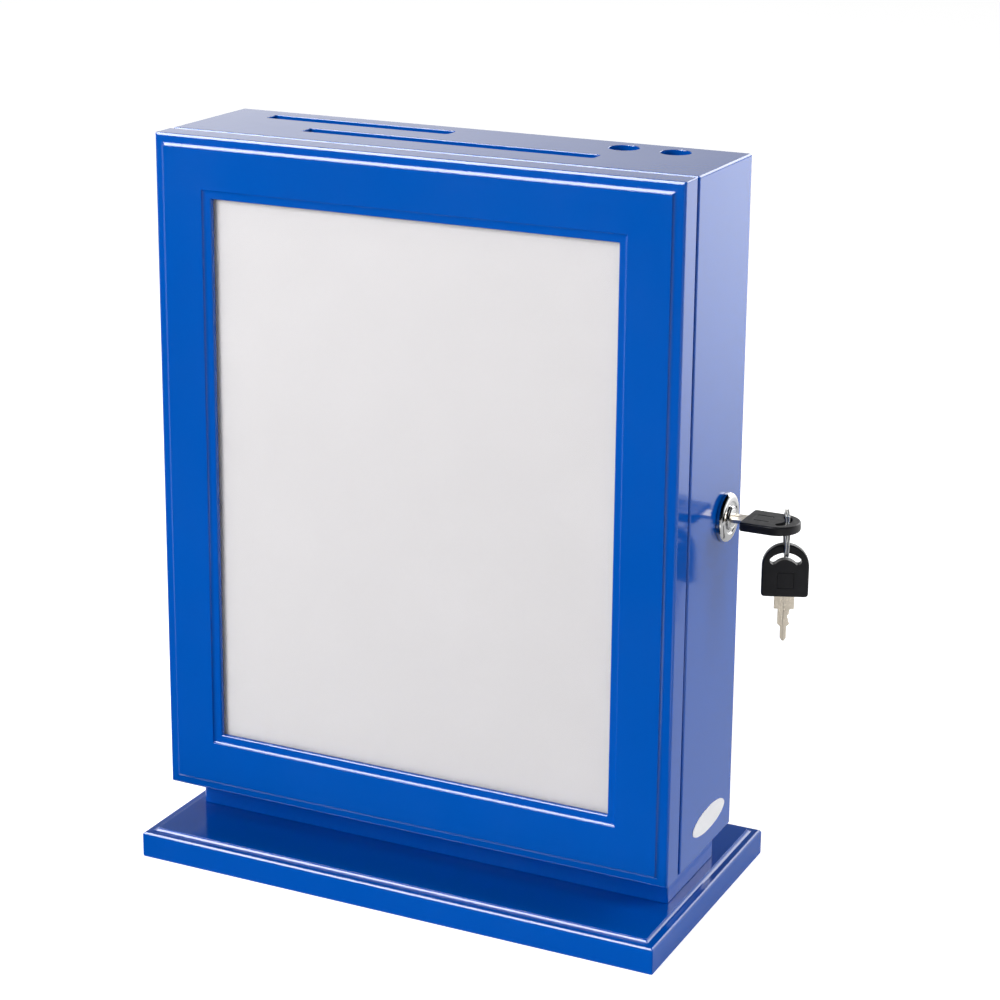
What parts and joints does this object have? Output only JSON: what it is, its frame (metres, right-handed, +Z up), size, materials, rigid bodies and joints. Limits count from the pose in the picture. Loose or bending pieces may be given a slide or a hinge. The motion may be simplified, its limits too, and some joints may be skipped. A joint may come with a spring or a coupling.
{
  "type": "suggestion box",
  "caption": "Lacquered wooden suggestion box on a wide base, with a framed sheet-holding door on hinges, slots and pen holes in its top, and a cam lock with keys in its side.",
  "frame": {"origin": "centre of the base board's underside", "axes": "+Z up, +X to the viewer's right when facing the door, -Y out of the door's front"},
  "size_m": [0.3061, 0.14, 0.3556],
  "materials": {
    "blue_lacquer": "gloss blue lacquer on fibreboard",
    "inner_lacquer": "thin blue lacquer on fibreboard",
    "clear_plastic": "clear acrylic",
    "sheet": "pale sheet with bare areas",
    "bare_board": "bare hardboard",
    "bright_chrome": "polished chrome plate",
    "plated_steel": "zinc plated steel",
    "nickel": "nickel plated",
    "black_plastic": "satin black moulded plastic"
  },
  "bodies": {
    "box": {"back_panel": "blue_lacquer", "base_board": "blue_lacquer", "base_screw_1": "plated_steel", "base_screw_2": "plated_steel", "base_screw_3": "plated_steel", "base_screw_4": "plated_steel", "bottom_panel": "blue_lacquer", "card_shelf": "inner_lacquer", "lock_housing": "bright_chrome", "lock_nut": "plated_steel", "lower_box_leaf_screw_1": "plated_steel", "lower_box_leaf_screw_2": "plated_steel", "lower_hinge_box_leaf": "plated_steel", "lower_hinge_pin": "plated_steel", "pen_shelf": "inner_lacquer", "plinth": "blue_lacquer", "pocket_divider": "inner_lacquer", "pocket_front": "inner_lacquer", "side_panel_left": "blue_lacquer", "side_panel_right": "blue_lacquer", "top_panel": "blue_lacquer", "upper_box_leaf_screw_1": "plated_steel", "upper_box_leaf_screw_2": "plated_steel", "upper_hinge_box_leaf": "plated_steel", "upper_hinge_pin": "plated_steel"},
    "door": {"backing_board": "bare_board", "clip_bottom_screw": "plated_steel", "clip_left_lower_screw": "plated_steel", "clip_left_upper_screw": "plated_steel", "clip_right_lower_screw": "plated_steel", "clip_right_upper_screw": "plated_steel", "clip_top_screw": "plated_steel", "door_frame": "blue_lacquer", "insert_sheet": "sheet", "keeper_bracket": "plated_steel", "keeper_pin": "plated_steel", "keeper_screw_1": "plated_steel", "keeper_screw_2": "plated_steel", "lower_door_leaf_screw_1": "plated_steel", "lower_door_leaf_screw_2": "plated_steel", "lower_hinge_door_leaf": "plated_steel", "upper_door_leaf_screw_1": "plated_steel", "upper_door_leaf_screw_2": "plated_steel", "upper_hinge_door_leaf": "plated_steel", "window_panel": "clear_plastic"},
    "clip_bottom": {"clip_bottom": "plated_steel"},
    "clip_left_lower": {"clip_left_lower": "plated_steel"},
    "clip_left_upper": {"clip_left_upper": "plated_steel"},
    "clip_right_lower": {"clip_right_lower": "plated_steel"},
    "clip_right_upper": {"clip_right_upper": "plated_steel"},
    "clip_top": {"clip_top": "plated_steel"},
    "lock_core": {"lock_plug": "bright_chrome", "lock_cam": "plated_steel", "cam_screw": "plated_steel"},
    "key": {"key_blade": "nickel", "key_bow": "black_plastic"},
    "ring": {"split_ring": "plated_steel"},
    "spare_key": {"spare_key_blade": "nickel", "spare_key_bow": "black_plastic"}
  },
  "joints": [
    {"name": "door_hinge", "type": "hinge", "parent": "box", "child": "door", "pos_m": [-0.1345, -0.033, 0.1936], "axis": [0, 0, -1], "range_deg": [0, 180]},
    {"name": "clip_bottom_turn", "type": "hinge", "parent": "door", "child": "clip_bottom", "pos_m": [0, -0.034, 0.04905], "axis": [0, 1, 0], "range_deg": [0, 90]},
    {"name": "clip_left_lower_turn", "type": "hinge", "parent": "door", "child": "clip_left_lower", "pos_m": [-0.1142, -0.034, 0.1192], "axis": [0, 1, 0], "range_deg": [0, 90]},
    {"name": "clip_left_upper_turn", "type": "hinge", "parent": "door", "child": "clip_left_upper", "pos_m": [-0.1142, -0.034, 0.2692], "axis": [0, 1, 0], "range_deg": [0, 90]},
    {"name": "clip_right_lower_turn", "type": "hinge", "parent": "door", "child": "clip_right_lower", "pos_m": [0.1142, -0.034, 0.1192], "axis": [0, 1, 0], "range_deg": [0, 90]},
    {"name": "clip_right_upper_turn", "type": "hinge", "parent": "door", "child": "clip_right_upper", "pos_m": [0.1142, -0.034, 0.2692], "axis": [0, 1, 0], "range_deg": [0, 90]},
    {"name": "clip_top_turn", "type": "hinge", "parent": "door", "child": "clip_top", "pos_m": [0, -0.034, 0.33935], "axis": [0, 1, 0], "range_deg": [0, 90]},
    {"name": "lock_turn", "type": "hinge", "parent": "box", "child": "lock_core", "pos_m": [0.132, 0.0114, 0.1914], "axis": [-1, 0, 0], "range_deg": [0, 90]},
    {"name": "key_slide", "type": "slide", "parent": "lock_core", "child": "key", "axis": [1, 0, 0], "range_m": [0, 0.022]},
    {"name": "ring_swing", "type": "hinge", "parent": "key", "child": "ring", "pos_m": [0.15885, 0.02033, 0.1914], "axis": [0.9258, 0.3781, 0], "range_deg": [-6, 6]},
    {"name": "spare_key_swing", "type": "hinge", "parent": "ring", "child": "spare_key", "pos_m": [0.15885, 0.02033, 0.18499], "axis": [0.9258, 0.3781, 0], "range_deg": [-60, 90]}
  ]
}
